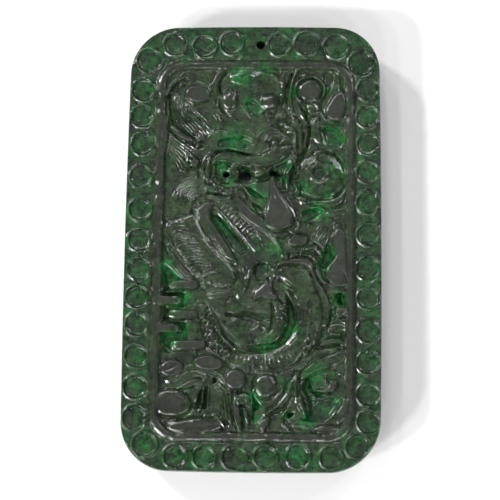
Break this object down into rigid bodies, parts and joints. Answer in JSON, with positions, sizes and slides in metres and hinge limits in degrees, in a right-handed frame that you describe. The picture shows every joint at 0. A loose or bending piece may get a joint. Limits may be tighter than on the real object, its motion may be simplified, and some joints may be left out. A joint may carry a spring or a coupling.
{
  "type": "carved jade plaque",
  "caption": "Flat rounded rectangular stone pendant carved with a coiled dragon and a pearl inside a border of drilled rings, with a cord hole at the top.",
  "frame": {"origin": "middle of the flat back, on the surface it lies on", "axes": "X across the width, Y up the height towards the cord hole, Z out of the carved face"},
  "size_m": [0.04, 0.0706, 0.0065],
  "materials": {
    "jade": "polished dark green jade, glossy on its high faces and satin in the cuts"
  },
  "bodies": {
    "root": {"plaque": "jade"}
  },
  "joints": []
}
